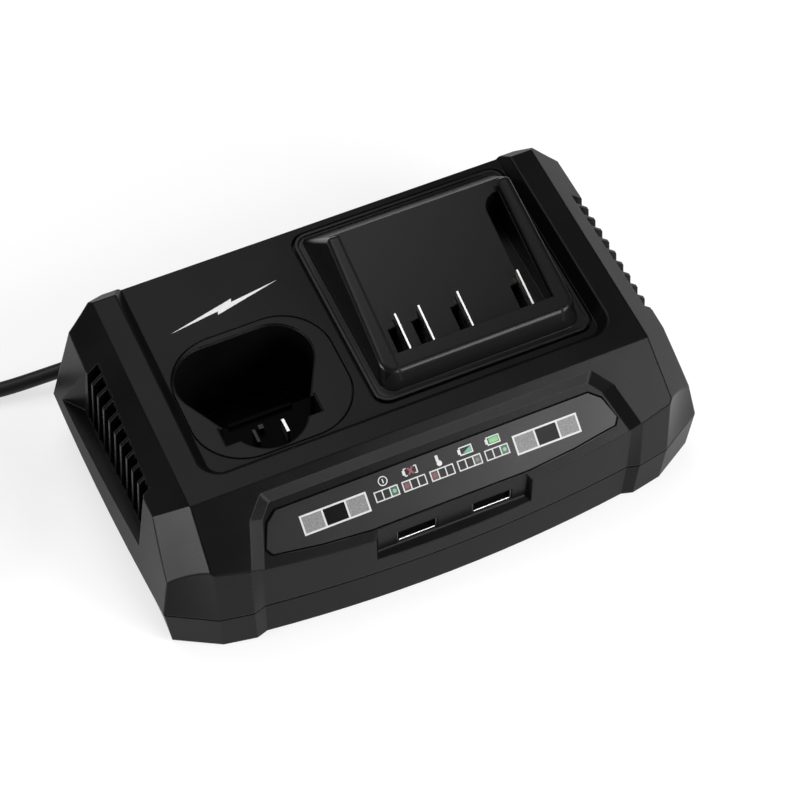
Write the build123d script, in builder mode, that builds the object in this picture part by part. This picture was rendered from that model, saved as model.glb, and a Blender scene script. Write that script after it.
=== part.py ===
from build123d import *
import os
from math import atan2, cos, pi, radians, sin, tan

# Dual-bay power tool battery charger: a 12 V stick socket on the left, an 18 V
# slide dock on the right and two USB outlets in front.
# Millimetres, +Z up, front towards -Y, origin on the table under the middle of the body.

# ---------------------------------------------------------------- driving dimensions
REAR_Y = 54.6            # rear wall
FOOT_H = 1.5             # the feet hold the shell this high
PART_Z = 18.3            # parting line between the two shells
TOP_Z = 55.1             # top strips of the side bumpers
DECK_Z = 51.1            # recessed deck between the bumpers
WALL = 2.5               # shell wall
DECK_T = 3.0             # deck thickness

# right half of the plan at the parting line: step beside the bulged front wall, bumper
# front, front corner, bowed side, rear corner
CORNER_D = (61.2, -50.8)
CORNER_C = (65.2, -52.0)
CORNER_B = (75.8, -50.0)
CORNER_A = (90.4, -41.4)
SIDE_MID = (92.7, 2.0)
REAR_A = (93.0, 49.6)
REAR_B = (72.0, 54.6)
FRONT_Y = -54.6          # middle of the bulged front wall

# the same walls carried down to the underside, with the sides tucked in behind the corners
LOW_FRONT_Y = -53.7
LOW_D = (60.9, -49.9)
LOW_C = (64.6, -51.0)
LOW_B = (75.0, -49.0)
LOW_A = (88.8, -41.0)
LOW_SIDE_MID = (87.0, 2.0)
LOW_REAR_A = (87.2, 48.8)
LOW_REAR_B = (71.4, 53.7)

# the same walls carried up to the height of the top strips
TOP_C = (64.9, -50.1)
TOP_B = (75.3, -48.1)
TOP_A = (83.3, -36.8)
TOP_SIDE_MID = (82.9, 4.0)
TOP_REAR_A = (82.1, 49.6)

STRIP_X = 75.4           # outer edge of a bumper's top strip
FOLD_X = 85.6            # fold between a bumper's slope and its side wall
FOLD_Z = 45.5
FOLD_Y = -31.4           # fold between the top and the front slope
SLOPE_END = (-52.0, 39.6)  # a point low on the front slope, y and z

DECK_X = 64.9            # half width of the deck at its foot
DECK_Y = -21.7           # front edge of the deck at its foot
DECK_R = 4.6
DECK_RAMP = 36.0         # lean of the soft ramp around the deck, in degrees
EDGE_ROUND = 0.9         # rounding of the upper shell's corners

DOCK_X = 27.5            # middle of the slide dock
DOCK_W = 72.8            # its flange
DOCK_Y0 = -18.6
DOCK_Y1 = 51.6
RAMP = 0.25              # rise of the dock's rails per mm towards the rear
RAIL_Z = 57.9            # rail tops at the dock's front edge
RAIL_Y = -13.4           # that front edge
RAIL_REAR_Y = 33.2       # rear end of the rails
BAY_W = 54.2             # between the rails
BAY_Y = -8.3             # rear side of the front bar
BAY_DEPTH = 4.5          # floor below the rail tops
BLADE_X = (6.3, 14.2, 27.3, 47.7)
BLADE_L = 12.4
BLADE_T = 0.6
BLADE_SLOT = (4.0, 10.6)  # opening beside each blade

SOCKET_X = -41.0         # middle of the stick socket
LOBE_R = 12.3            # its three lobes
LOBES = ((-9.8, 11.3), (9.8, 11.3), (0.0, -7.4))
LATCH = (12.1, -9.8, 7.0, 6.4)   # its latch notches: middle, width and depth
CUP_WALL = 1.5
CUP_BASE_Z = 13.0        # underside of the socket cup
LEDGE_Y = 1.0            # rear edge of the terminal ledge in the socket
LEDGE_Z = 39.0

VENT_Y = 30.2            # middle of the rearmost slot of the side vents
VENT_PITCH = 4.93
VENT_COUNT = 10
VENT_SLOT = 3.7
VENT_FACE = ((84.7, 50.0), (87.0, 20.0))   # outer faces of the ribs, x and z
VENT_FRAME = ((44.0, 22.4), (44.0, 47.0), (-16.6, 47.0), (-20.6, 27.0))   # y and z
VENT_REAR = ((85.2, 33.6), (91.2, 42.0))   # slanted rear end of the vent, x and y
# height of the rearmost slot's lower and upper end, depth at which it stops, and how
# much each of them changes from slot to slot
VENT_LOW = (23.6, 0.35)
VENT_HIGH = (49.8, -0.18)
VENT_DEEP = (81.0, 0.19)

USB_X = (-11.3, 13.7)    # middles of the two outlets
USB_Z = 29.7
USB_BACK_Y = -51.6       # flat back of the outlet recess
OUTLET_ENDS = (-24.4, 24.9)   # its ends

CORD_D = 5.0
CORD_LENGTH = 1800.0
CORD_ROUTE = [
    (-82.0, 64.6, 7.4),
    (-93.0, 65.652, 6.061),
    (-105.0, 67.6, 3.8),
    (-119.0, 70.4, 2.5),
    (-133.5, 71.8, 2.5),
    (-148.0, 71.2, 2.5),
]
COIL_R = 29.0            # middle radius of the put-away coil
COIL_W = 25.0            # five turns side by side
COIL_H = 10.0            # two layers
COIL_MID = (-168.87, 31.3)
STUB = 22.5              # cord between the tube's end and the turns
PLUG_H = 13.7            # thickness of the plug

FOOT_REAR = (79.5, 38.0)
FOOT_FRONT = (70.0, -34.0)
SCREWS = ((73.0, -24.0), (73.0, 46.0))
FEET = (FOOT_REAR, FOOT_FRONT)

DISPLAY_DEPTH = 1.4      # display recess in the front slope
DISPLAY_R = 4.0          # rounding between its walls
SEAM = 0.6               # two seam gaps, one on each side of a flange
FLANGE_T = 1.5           # flanges of the dock and of the socket cup
FLANGE_R = 4.9           # corners of the dock's flange
DOCK_FLANK = 33.4        # half width of the dock's raised part at the deck
DOCK_CORNER_R = 5.0      # its upright front corners
DOCK_EDGE_R = 1.8        # its upper edges
CUP_FLANGE = ((-38.6, 2.7), 51.4, 46.7, 17.0)   # middle, width, depth, corner radius
OVERLAY_T = 0.4
LED_TOP = -6.0           # light source tops below the slope's plane
CHANNEL_W = 6.2          # deep channel along the dock's right rail
CHANNEL_END = 32.4       # its rounded rear end
DOCK_GAP = 0.7           # groove around the dock's flange
LIP_W = 1.1              # raised lip of that flange
LIP_H = 0.5
FOOT_R = 5.6
GLAND = (-59.0, 11.0)    # cord gland in the rear wall, x and z
GLAND_R = 5.6
WINDOWS = ((-35.0, -17.3), (35.0, -17.3))   # indicator windows, in the slope's plane
WINDOW = (21.4, 6.0)
GUIDE = (18.0, 3.6)      # light guides under the windows
STATUS_X = (-17.6, -8.8, 0.0, 8.8, 17.6)
STATUS_V = -16.6
STATUS_GUIDE = (6.4, 2.2)
BOARD_Z = 10.0           # underside of the main board
BOARD_T = 1.6
BOARD = (-14.0, 67.0, -27.0, 48.0)   # its edges
BOARD_POSTS = ((-10.0, -23.0), (62.0, -23.0), (-10.0, 44.0), (62.0, 44.0))
USB_BOARD_Z = 25.45      # underside of the outlet board
USB_POSTS = ((-19.0, -34.0), (21.5, -34.0))

# ---------------------------------------------------------------- derived values
SLOPE_A = atan2(TOP_Z - SLOPE_END[1], FOLD_Y - SLOPE_END[0])
SLOPE_N = (0.0, -sin(SLOPE_A), cos(SLOPE_A))
SIDE_A = atan2(TOP_Z - FOLD_Z, FOLD_X - STRIP_X)
SIDE_N = (sin(SIDE_A), 0.0, cos(SIDE_A))
FACET_P = (STRIP_X + 0.3, FOLD_Y + 0.8, TOP_Z)
FACET_N = (0.757, -0.363, 0.541)
SLOPE_PLANE = Plane(origin=(0, FOLD_Y, TOP_Z), x_dir=(1, 0, 0), z_dir=SLOPE_N)
DOCK_MID = (DOCK_X, (DOCK_Y0 + DOCK_Y1) / 2)
DOCK_L = DOCK_Y1 - DOCK_Y0


def rail_z(y):
    """Height of the dock's rail tops at a depth y."""
    return RAIL_Z + RAMP * (y - RAIL_Y)


def half_space(point, normal, inset=0.0):
    """A large block that fills one side of a plane, moved in by inset."""
    base = Vector(*point) - Vector(*normal).normalized() * inset
    with BuildPart(Plane(origin=base, z_dir=normal)) as block:
        Box(600, 600, 150, align=(Align.CENTER, Align.CENTER, Align.MIN))
    return block.part


PART_PLAN = (CORNER_D, CORNER_C, CORNER_B, CORNER_A, SIDE_MID, REAR_A, REAR_B)
LOW_PLAN = (LOW_D, LOW_C, LOW_B, LOW_A, LOW_SIDE_MID, LOW_REAR_A, LOW_REAR_B)
TOP_PLAN = (CORNER_D, TOP_C, TOP_B, TOP_A, TOP_SIDE_MID, TOP_REAR_A, REAR_B)


def plan_face(inset=0.0, half=PART_PLAN, middle=FRONT_Y):
    """The body's outline seen from above."""
    front, step, bumper, corner, side, rear, end = half
    other = [(-x, y) for x, y in half]
    with BuildSketch() as plan:
        with BuildLine():
            ThreePointArc(other[0], (0, middle), front)
            Polyline(front, step, bumper, corner)
            ThreePointArc(corner, side, rear)
            Polyline(rear, end, other[6], other[5])
            ThreePointArc(other[5], other[4], other[3])
            Polyline(other[3], other[2], other[1], other[0])
        make_face()
        if inset:
            offset(amount=-inset, kind=Kind.INTERSECTION)
    return plan.sketch


def upper_envelope(inset=0.0, top=TOP_Z, bottom=PART_Z):
    """The faceted body above the parting line, with every face moved in by inset."""
    with BuildPart() as body:
        with BuildSketch(Plane.XY.offset(bottom)):
            add(plan_face(inset))
        with BuildSketch(Plane.XY.offset(TOP_Z)):
            add(plan_face(inset, TOP_PLAN))
        loft(ruled=True)
        if top < TOP_Z:
            add(half_space((0, 0, top), (0, 0, 1)), mode=Mode.SUBTRACT)
        add(half_space((0, FOLD_Y, TOP_Z), SLOPE_N, inset), mode=Mode.SUBTRACT)
        for side in (1, -1):
            slope = (side * SIDE_N[0], 0, SIDE_N[2])
            facet = (side * FACET_N[0], FACET_N[1], FACET_N[2])
            add(half_space((side * STRIP_X, 0, TOP_Z), slope, inset), mode=Mode.SUBTRACT)
            corner = (side * FACET_P[0], FACET_P[1], FACET_P[2])
            add(half_space(corner, facet, inset), mode=Mode.SUBTRACT)
        rear = half_space((0, REAR_Y, TOP_Z - 3.0), (0, 0.6, 0.8), inset)
        add(rear, mode=Mode.SUBTRACT)
    return body.part


def lower_envelope(inset=0.0, bottom=FOOT_H):
    """The body below the parting line: drafted walls, sides tucked in behind the corners."""
    with BuildPart() as body:
        with BuildSketch(Plane.XY.offset(FOOT_H)):
            add(plan_face(inset, LOW_PLAN, LOW_FRONT_Y))
        with BuildSketch(Plane.XY.offset(PART_Z)):
            add(plan_face(inset))
        loft(ruled=True)
        if bottom > FOOT_H:
            add(half_space((0, 0, bottom), (0, 0, -1)), mode=Mode.SUBTRACT)
    return body.part


# ---------------------------------------------------------------- outlines and cuts
def lobed_face(grow=0.0):
    """Outline of the stick socket: the hull of its three lobes and two latch notches."""
    with BuildSketch() as lobes:
        with Locations(*LOBES):
            Circle(LOBE_R + grow)
        make_hull()
        for side in (1, -1):
            with Locations((side * LATCH[0], LATCH[1])):
                Rectangle(LATCH[2] + 2 * grow, LATCH[3] + 2 * grow)
    return lobes.sketch


def slope_point(u, v, w):
    """A point given in the front slope's own plane: across, up the slope, out of it."""
    return SLOPE_PLANE.from_local_coords(Vector(u, v, w))


def recess_wall(a, b, c):
    """The half-space outside a plane through three points, away from the recess's middle."""
    a, b, c = [slope_point(*p) for p in (a, b, c)]
    normal = (b - a).cross(c - a)
    if normal.dot(slope_point(0, -18, 0) - a) > 0:
        normal = normal * -1
    return half_space(tuple(a), tuple(normal))


def display_cut():
    """The display recess: a flat floor between walls that ramp up to the slope."""
    low = -DISPLAY_DEPTH
    with BuildPart() as cut:
        with BuildSketch(SLOPE_PLANE.offset(low)):
            with Locations((0, -18)):
                Rectangle(240, 80)
        extrude(amount=6)
        add(recess_wall((-50, -3.6, 0), (50, -3.6, 0), (0, -7.0, low)), mode=Mode.SUBTRACT)
        for side in (1, -1):
            ramp = [(60.3, -10.9, 0), (64.5, -24.3, 0), (56.3, -11.6, low)]
            corner = [(54.6, -3.6, 0), (60.8, -11.0, 0), (55.0, -9.8, low)]
            for wall in (ramp, corner):
                add(recess_wall(*[(side * u, v, w) for u, v, w in wall]), mode=Mode.SUBTRACT)
        seams = cut.edges().filter_by(lambda e: abs((e % 0.5).dot(Vector(*SLOPE_N))) > 0.05)
        fillet(seams.filter_by(lambda e: e.center().Y > -50), DISPLAY_R)
    return cut.part


def deck_cut():
    """The deck recess between the bumpers, open at the rear."""
    with BuildPart() as cut:
        with BuildSketch(Plane.XY.offset(DECK_Z)):
            with BuildLine():
                foot = [(-DECK_X, 70), (-DECK_X, DECK_Y), (DECK_X, DECK_Y), (DECK_X, 70)]
                FilletPolyline(*foot, radius=DECK_R)
                Line((DECK_X, 70), (-DECK_X, 70))
            make_face()
        extrude(amount=8, taper=-DECK_RAMP)
    return cut.part


def outside_deck(edge):
    """Whether an edge lies above or beside the deck's foot."""
    middle = edge.center()
    return middle.Z > DECK_Z + 2.2 or abs(middle.X) > DECK_X + 4 or middle.Y < DECK_Y - 4


def hollow_upper():
    """The space inside the upper shell, lower under the deck than under the bumpers."""
    with BuildPart() as space:
        add(upper_envelope(WALL, TOP_Z - WALL, PART_Z - 1))
        with Locations((0, 18.0, DECK_Z - DECK_T)):
            under = (Align.CENTER, Align.CENTER, Align.MIN)
            Box(2 * (DECK_X + 4.6), 89.0, 20, align=under, mode=Mode.SUBTRACT)
        # an upright inner panel backs each vent
        with Locations(*[(side * 90.0, 12.7, 33.0) for side in (1, -1)]):
            Box(13.2, 67.6, 40.0, mode=Mode.SUBTRACT)
    return space.part


def outlet_backing():
    """Thicker wall behind the outlet recess."""
    with BuildPart() as block:
        add(upper_envelope(0.5))
        with Locations((0.5, USB_BACK_Y + 1.2, 31.0)):
            Box(58, 3.8, 26, mode=Mode.INTERSECT)
    return block.part


def outlet_cut():
    """The recess for the outlets: a ledge slopes forward below them and the ends splay out."""
    with BuildPart() as cut:
        with BuildSketch(Plane.YZ.offset(-40)):
            with BuildLine():
                Polyline((USB_BACK_Y, 26.4), (USB_BACK_Y, 45), (-62, 45), (-62, 21.5), close=True)
            make_face()
        extrude(amount=80)
        for side, x in zip((-1, 1), OUTLET_ENDS):
            end = half_space((x, USB_BACK_Y, 0), (side * 0.87, 0.5, 0))
            add(end, mode=Mode.SUBTRACT)
        inner = cut.edges().filter_by(lambda e: e.center().Y > USB_BACK_Y - 0.1 and e.center().Z < 40)
        fillet(inner, 0.9)
    return cut.part


def vent_cut(side):
    """A side vent: a recess that deepens downwards and slots that wrap over the fold."""
    with BuildPart() as cut:
        with BuildSketch(Plane.YZ.offset(side * (FOLD_X - 4))):
            with BuildLine():
                Polyline(*VENT_FRAME, close=True)
            make_face()
        extrude(amount=side * 16)
        (x0, z0), (x1, z1) = VENT_FACE
        lean = (-side * (z0 - z1), 0, -(x1 - x0))
        add(half_space((side * x0, 0, z0), lean), mode=Mode.SUBTRACT)
        (x0, y0), (x1, y1) = VENT_REAR
        add(half_space((side * x0, y0, 0), (-side * (y1 - y0), x1 - x0, 0)), mode=Mode.SUBTRACT)
        for i in range(VENT_COUNT):
            low, top, deep = [first + step * i for first, step in (VENT_LOW, VENT_HIGH, VENT_DEEP)]
            across = Align.MIN if side > 0 else Align.MAX
            with Locations((side * deep, VENT_Y - VENT_PITCH * i, low)):
                Box(14.0, VENT_SLOT, top - low, align=(across, Align.CENTER, Align.MIN))
    return cut.part


# ---------------------------------------------------------------- upper shell
with BuildPart() as upper_shell:
    add(upper_envelope())
    add(deck_cut(), mode=Mode.SUBTRACT)
    corners = upper_shell.edges().filter_by(lambda e: e.center().Z > PART_Z + 0.5)
    fillet(corners.filter_by(outside_deck), EDGE_ROUND)
    add(hollow_upper(), mode=Mode.SUBTRACT)
    add(outlet_backing())
    add(display_cut(), mode=Mode.SUBTRACT)
    add(outlet_cut(), mode=Mode.SUBTRACT)
    with Locations(*[(x, USB_BACK_Y, USB_Z) for x in USB_X]):
        Box(13.4, 12, 5.4, mode=Mode.SUBTRACT)
    # flange seats in the deck, and the holes below them
    with BuildSketch(Plane.XY.offset(DECK_Z - FLANGE_T)):
        with Locations(CUP_FLANGE[0]):
            RectangleRounded(CUP_FLANGE[1] + SEAM, CUP_FLANGE[2] + SEAM, CUP_FLANGE[3])
        with Locations(DOCK_MID):
            RectangleRounded(DOCK_W + 2 * DOCK_GAP, DOCK_L + 2 * DOCK_GAP, 5)
    extrude(amount=4, mode=Mode.SUBTRACT)
    with BuildSketch(Plane.XY.offset(DECK_Z - 6)):
        with Locations((SOCKET_X, 0)):
            add(lobed_face(CUP_WALL + 0.15))
        with Locations(DOCK_MID):
            RectangleRounded(DOCK_W - 5.4, DOCK_L - 5.4, 3)
    extrude(amount=6 - FLANGE_T, mode=Mode.SUBTRACT)
    add(vent_cut(1), mode=Mode.SUBTRACT)
    add(vent_cut(-1), mode=Mode.SUBTRACT)
    # screw posts under the bumpers
    with Locations(*[(side * x, y, PART_Z) for x, y in SCREWS for side in (1, -1)]):
        Cylinder(3.6, 34.8, align=(Align.CENTER, Align.CENTER, Align.MIN))
        Cylinder(1.5, 20.0, align=(Align.CENTER, Align.CENTER, Align.MIN), mode=Mode.SUBTRACT)
    # slots for the light guides
    with BuildSketch(SLOPE_PLANE.offset(-DISPLAY_DEPTH - 4)):
        with Locations(*WINDOWS):
            Rectangle(*GUIDE)
        with Locations(*[(x, STATUS_V) for x in STATUS_X]):
            Rectangle(*STATUS_GUIDE)
    extrude(amount=4.5, mode=Mode.SUBTRACT)
    # posts that hold the display board
    with BuildSketch(SLOPE_PLANE.offset(LED_TOP - 1.6)):
        with Locations(*[(side * 49.0, v) for side in (1, -1) for v in (-12.0, -19.2)]):
            Circle(2.2)
    extrude(amount=-LED_TOP - 0.4)
upper_shell.part.label = "upper_shell"

# ---------------------------------------------------------------- lower shell
with BuildPart() as lower_shell:
    add(lower_envelope())
    # raised housings of the rear feet stand out of the tucked-in sides
    with Locations(*[(side * FOOT_REAR[0], FOOT_REAR[1], FOOT_H) for side in (1, -1)]):
        Cylinder(7.4, 9.0, align=(Align.CENTER, Align.CENTER, Align.MIN))
    add(lower_envelope(WALL, FOOT_H + WALL), mode=Mode.SUBTRACT)
    # floor pads over the feet, screw posts, board posts, outlet board posts
    with Locations(*[(side * x, y, FOOT_H) for x, y in FEET for side in (1, -1)]):
        Cylinder(7.4, 4.0, align=(Align.CENTER, Align.CENTER, Align.MIN))
        Cylinder(FOOT_R, 1.5, align=(Align.CENTER, Align.CENTER, Align.MIN), mode=Mode.SUBTRACT)
    with Locations(*[(side * x, y, FOOT_H) for x, y in SCREWS for side in (1, -1)]):
        Cylinder(4.6, PART_Z - FOOT_H, align=(Align.CENTER, Align.CENTER, Align.MIN))
        Cylinder(1.6, PART_Z - FOOT_H, align=(Align.CENTER, Align.CENTER, Align.MIN), mode=Mode.SUBTRACT)
        Cylinder(3.1, 9.0, align=(Align.CENTER, Align.CENTER, Align.MIN), mode=Mode.SUBTRACT)
    with Locations(*[(x, y, FOOT_H + WALL) for x, y in BOARD_POSTS]):
        Cylinder(3.0, BOARD_Z - FOOT_H - WALL, align=(Align.CENTER, Align.CENTER, Align.MIN))
        Cylinder(1.1, BOARD_Z, align=(Align.CENTER, Align.CENTER, Align.MIN), mode=Mode.SUBTRACT)
    with Locations(*[(x, y, FOOT_H + WALL) for x, y in USB_POSTS]):
        Cylinder(3.0, USB_BOARD_Z - FOOT_H - WALL, align=(Align.CENTER, Align.CENTER, Align.MIN))
        Cylinder(1.1, USB_BOARD_Z, align=(Align.CENTER, Align.CENTER, Align.MIN), mode=Mode.SUBTRACT)
    # air slots in the floor
    with BuildSketch(Plane.XY):
        with Locations((28.0, 14.0)):
            with GridLocations(6.0, 34.0, 10, 2):
                SlotOverall(24.0, 2.4, rotation=90)
    extrude(amount=8, mode=Mode.SUBTRACT)
    # hole for the cord gland
    with Locations(Plane(origin=(GLAND[0], REAR_Y, GLAND[1]), z_dir=(0, 1, 0))):
        Cylinder(GLAND_R, 12, mode=Mode.SUBTRACT)
    # shadow gap below the parting line
    with BuildSketch(Plane.XY.offset(PART_Z)):
        Rectangle(200, 130)
        add(plan_face(0.5), mode=Mode.SUBTRACT)
    extrude(amount=-0.6, mode=Mode.SUBTRACT)
lower_shell.part.label = "lower_shell"

# ---------------------------------------------------------------- slide dock
def bay_floor_z(y):
    """Height of the bay's floor between the rails."""
    return rail_z(y) - BAY_DEPTH


def dock_ramp(inset=0.0, base=DECK_Z - FLANGE_T):
    """The raised part of the dock: flat-topped, higher towards the rear, with sloped flanks."""
    drop = DECK_Z - base
    with BuildPart() as ramp:
        with BuildSketch(Plane.YZ.offset(DOCK_X - 36)):
            with BuildLine():
                Polyline(
                    (RAIL_Y - 2.6 - 0.38 * drop, base),
                    (RAIL_Y, rail_z(RAIL_Y)),
                    (RAIL_REAR_Y, rail_z(RAIL_REAR_Y)),
                    (DOCK_Y1 - 2.0 + 0.89 * drop, base),
                    close=True,
                )
            make_face()
            if inset:
                offset(amount=-inset, kind=Kind.INTERSECTION)
        extrude(amount=72)
        for side in (1, -1):
            foot = (DOCK_X + side * DOCK_FLANK, 0, DECK_Z)
            flank = half_space(foot, (side * 0.993, 0, 0.12), inset)
            add(flank, mode=Mode.SUBTRACT)
        if not inset:
            front = ramp.edges().filter_by(lambda e: e.center().Y < 0)
            upright = front.filter_by(lambda e: abs((e % 0.5).X) < 0.2 and abs((e % 0.5).Z) > 0.6)
            fillet(upright, DOCK_CORNER_R)
    return ramp.part


def dock_hollow():
    """The space under the bay's floor, left of the deep channel."""
    with BuildPart() as under:
        add(dock_ramp(2.0, DECK_Z - 8))
        ceiling = (0, BAY_Y, bay_floor_z(BAY_Y) - 2.0)
        add(half_space(ceiling, (0, -RAMP, 1)), mode=Mode.SUBTRACT)
        right = DOCK_X + BAY_W / 2 - CHANNEL_W - 1.6
        with Locations((right, 10, DECK_Z)):
            Box(30, 120, 60, align=(Align.MIN, Align.CENTER, Align.CENTER), mode=Mode.SUBTRACT)
    return under.part


def bay_cut():
    """The bay between the rails, with grooves under their lips."""
    def run(low, high):
        return [
            (BAY_Y, bay_floor_z(BAY_Y) + low),
            (70, bay_floor_z(70) + low),
            (70, bay_floor_z(70) + high),
            (BAY_Y, bay_floor_z(BAY_Y) + high),
        ]

    with BuildPart() as cut:
        for width, low, high in ((BAY_W, 0.0, 30.0), (BAY_W + 4.4, 0.0, 2.6)):
            with BuildSketch(Plane.YZ.offset(DOCK_X - width / 2)):
                with BuildLine():
                    Polyline(*run(low, high), close=True)
                make_face()
            extrude(amount=width)
    return cut.part


with BuildPart() as slide_dock:
    add(dock_ramp())
    fillet(slide_dock.edges().filter_by(lambda e: e.center().Z > RAIL_Z - 0.5), DOCK_EDGE_R)
    with BuildSketch(Plane.XY.offset(DECK_Z - FLANGE_T)):
        with Locations(DOCK_MID):
            RectangleRounded(DOCK_W, DOCK_L, FLANGE_R)
    extrude(amount=FLANGE_T)
    with BuildSketch(Plane.XY.offset(DECK_Z)):
        with Locations(DOCK_MID):
            RectangleRounded(DOCK_W, DOCK_L, FLANGE_R)
            inner = (DOCK_W - 2 * LIP_W, DOCK_L - 2 * LIP_W, FLANGE_R - LIP_W)
            RectangleRounded(*inner, mode=Mode.SUBTRACT)
    extrude(amount=LIP_H)
    # hollow below, closed above by the bay's floor
    add(dock_hollow(), mode=Mode.SUBTRACT)
    add(bay_cut(), mode=Mode.SUBTRACT)
    # blade slots and the deep channel along the right rail
    for x in BLADE_X:
        with Locations((x + 0.8, BAY_Y, 60)):
            Box(*BLADE_SLOT, 24, align=(Align.MAX, Align.MIN, Align.CENTER), mode=Mode.SUBTRACT)
        with Locations((x, BAY_Y, 60)):
            slit = (BLADE_T + 0.3, BLADE_L + 0.4, 24)
            Box(*slit, align=(Align.CENTER, Align.MIN, Align.CENTER), mode=Mode.SUBTRACT)
    with BuildSketch(Plane.XY.offset(DECK_Z)):
        channel_right = DOCK_X + BAY_W / 2
        with BuildLine():
            FilletPolyline(
                (channel_right, BAY_Y),
                (channel_right - CHANNEL_W, BAY_Y),
                (channel_right - CHANNEL_W, CHANNEL_END),
                (channel_right, CHANNEL_END),
                radius=(0.4, 5.4),
            )
            Line((channel_right, CHANNEL_END), (channel_right, BAY_Y))
        make_face()
    extrude(amount=20, mode=Mode.SUBTRACT)
slide_dock.part.label = "slide_dock"


def blade(x, y0, length, thickness, low, high):
    """A flat contact blade that stands along Y."""
    with BuildPart() as strip:
        with Locations((x, y0, low)):
            Box(thickness, length, high - low, align=(Align.CENTER, Align.MIN, Align.MIN))
    return strip.part


with BuildPart() as slide_blades:
    for x in BLADE_X:
        add(blade(x, BAY_Y + 0.1, BLADE_L, BLADE_T, 44.0, 75.0))
    top = (0, BAY_Y, rail_z(BAY_Y) - 1.0)
    add(half_space(top, (0, -RAMP, 1)), mode=Mode.SUBTRACT)
slide_blades.part.label = "slide_blades"

with BuildPart() as slide_terminal_block:
    # the full block under the bay's floor, and a low end under the channel
    with Locations((2.0, -11.0, 41.0)):
        Box(44.4, 18.0, 30.0, align=Align.MIN)
        Box(48.0, 18.0, 8.4, align=Align.MIN)
    under_floor = (0, BAY_Y, bay_floor_z(BAY_Y) - 2.0)
    add(half_space(under_floor, (0, -RAMP, 1)), mode=Mode.SUBTRACT)
    for x in BLADE_X:
        with Locations((x + 0.8, BAY_Y, 46.0)):
            Box(*BLADE_SLOT, 24, align=(Align.MAX, Align.MIN, Align.MIN), mode=Mode.SUBTRACT)
    add(slide_blades.part, mode=Mode.SUBTRACT)
slide_terminal_block.part.label = "slide_terminal_block"

# ---------------------------------------------------------------- stick socket
with BuildPart() as socket_cup:
    with BuildSketch(Plane.XY.offset(DECK_Z - FLANGE_T)):
        with Locations(CUP_FLANGE[0]):
            RectangleRounded(*CUP_FLANGE[1:])
    extrude(amount=FLANGE_T)
    with BuildSketch(Plane.XY.offset(CUP_BASE_Z)):
        with Locations((SOCKET_X, 0)):
            add(lobed_face(CUP_WALL))
    extrude(amount=DECK_Z - FLANGE_T - CUP_BASE_Z)
    with BuildSketch(Plane.XY.offset(CUP_BASE_Z + 2.0)):
        with Locations((SOCKET_X, 0)):
            add(lobed_face())
    extrude(amount=60, mode=Mode.SUBTRACT)
    with BuildSketch(Plane.XY.offset(DECK_Z)):
        with Locations((SOCKET_X, 0)):
            add(lobed_face(0.4))
    extrude(amount=-0.5, mode=Mode.SUBTRACT)
socket_cup.part.label = "socket_cup"

with BuildPart() as socket_blades:
    for x in (-4.8, 4.8):
        add(blade(SOCKET_X + x, -11.7, 4.8, 0.9, LEDGE_Z - 8, LEDGE_Z + 5.5))
    add(blade(SOCKET_X - 1.6, -5.6, 1.6, 1.6, LEDGE_Z - 8, LEDGE_Z + 2.5))
socket_blades.part.label = "socket_blades"

with BuildPart() as socket_terminal_block:
    with BuildSketch(Plane.XY.offset(CUP_BASE_Z + 2.0)):
        with Locations((SOCKET_X, 0)):
            add(lobed_face(-0.2))
        with Locations((SOCKET_X, LEDGE_Y)):
            Rectangle(80, 80, align=(Align.CENTER, Align.MIN), mode=Mode.SUBTRACT)
    extrude(amount=LEDGE_Z - CUP_BASE_Z - 2.0)
    with Locations((SOCKET_X, LEDGE_Y, LEDGE_Z)):
        Box(21.0, 1.4, 1.2, align=(Align.CENTER, Align.MAX, Align.MIN))
    add(socket_blades.part, mode=Mode.SUBTRACT)
socket_terminal_block.part.label = "socket_terminal_block"

# ---------------------------------------------------------------- indicator panel
with BuildPart() as indicator_overlay:
    with BuildSketch(SLOPE_PLANE.offset(-DISPLAY_DEPTH)):
        with BuildLine():
            ThreePointArc((26.6, -25.9), (42.0, -24.7), (57.0, -22.4))
            right = [(57.0, -22.4), (58.4, -20.2), (55.6, -12.4), (52.0, -9.5)]
            left = [(-x, v) for x, v in reversed(right)]
            Polyline(*right, *left)
            ThreePointArc((-57.0, -22.4), (-42.0, -24.7), (-26.6, -25.9))
            Line((-26.6, -25.9), (26.6, -25.9))
        make_face()
        with Locations(*WINDOWS):
            Rectangle(*WINDOW, mode=Mode.SUBTRACT)
    extrude(amount=OVERLAY_T)
indicator_overlay.part.label = "indicator_overlay"


def window_plate(place, size, low, high):
    """A plate in the slope's plane between two offsets from it."""
    with BuildPart() as plate:
        with BuildSketch(SLOPE_PLANE.offset(low)):
            with Locations(place):
                Rectangle(*size)
        extrude(amount=high - low)
    return plate.part


with BuildPart() as window_left:
    add(window_plate(WINDOWS[0], WINDOW, -DISPLAY_DEPTH, -DISPLAY_DEPTH + OVERLAY_T))
window_left.part.label = "indicator_window_left"

with BuildPart() as window_right:
    add(window_plate(WINDOWS[1], WINDOW, -DISPLAY_DEPTH, -DISPLAY_DEPTH + OVERLAY_T))
window_right.part.label = "indicator_window_right"

with BuildPart() as light_guides:
    for place in WINDOWS:
        add(window_plate(place, GUIDE, LED_TOP, -DISPLAY_DEPTH))
    for x in STATUS_X:
        add(window_plate((x, STATUS_V), STATUS_GUIDE, LED_TOP, -DISPLAY_DEPTH))
light_guides.part.label = "light_guides"

with BuildPart() as status_leds:
    for x, v in WINDOWS:
        for step in (-6, 0, 6):
            add(window_plate((x + step, v), (3.0, 2.4), LED_TOP - 1.6, LED_TOP))
    for x in STATUS_X:
        add(window_plate((x, STATUS_V), (3.0, 2.0), LED_TOP - 1.6, LED_TOP))
status_leds.part.label = "status_leds"

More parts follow.
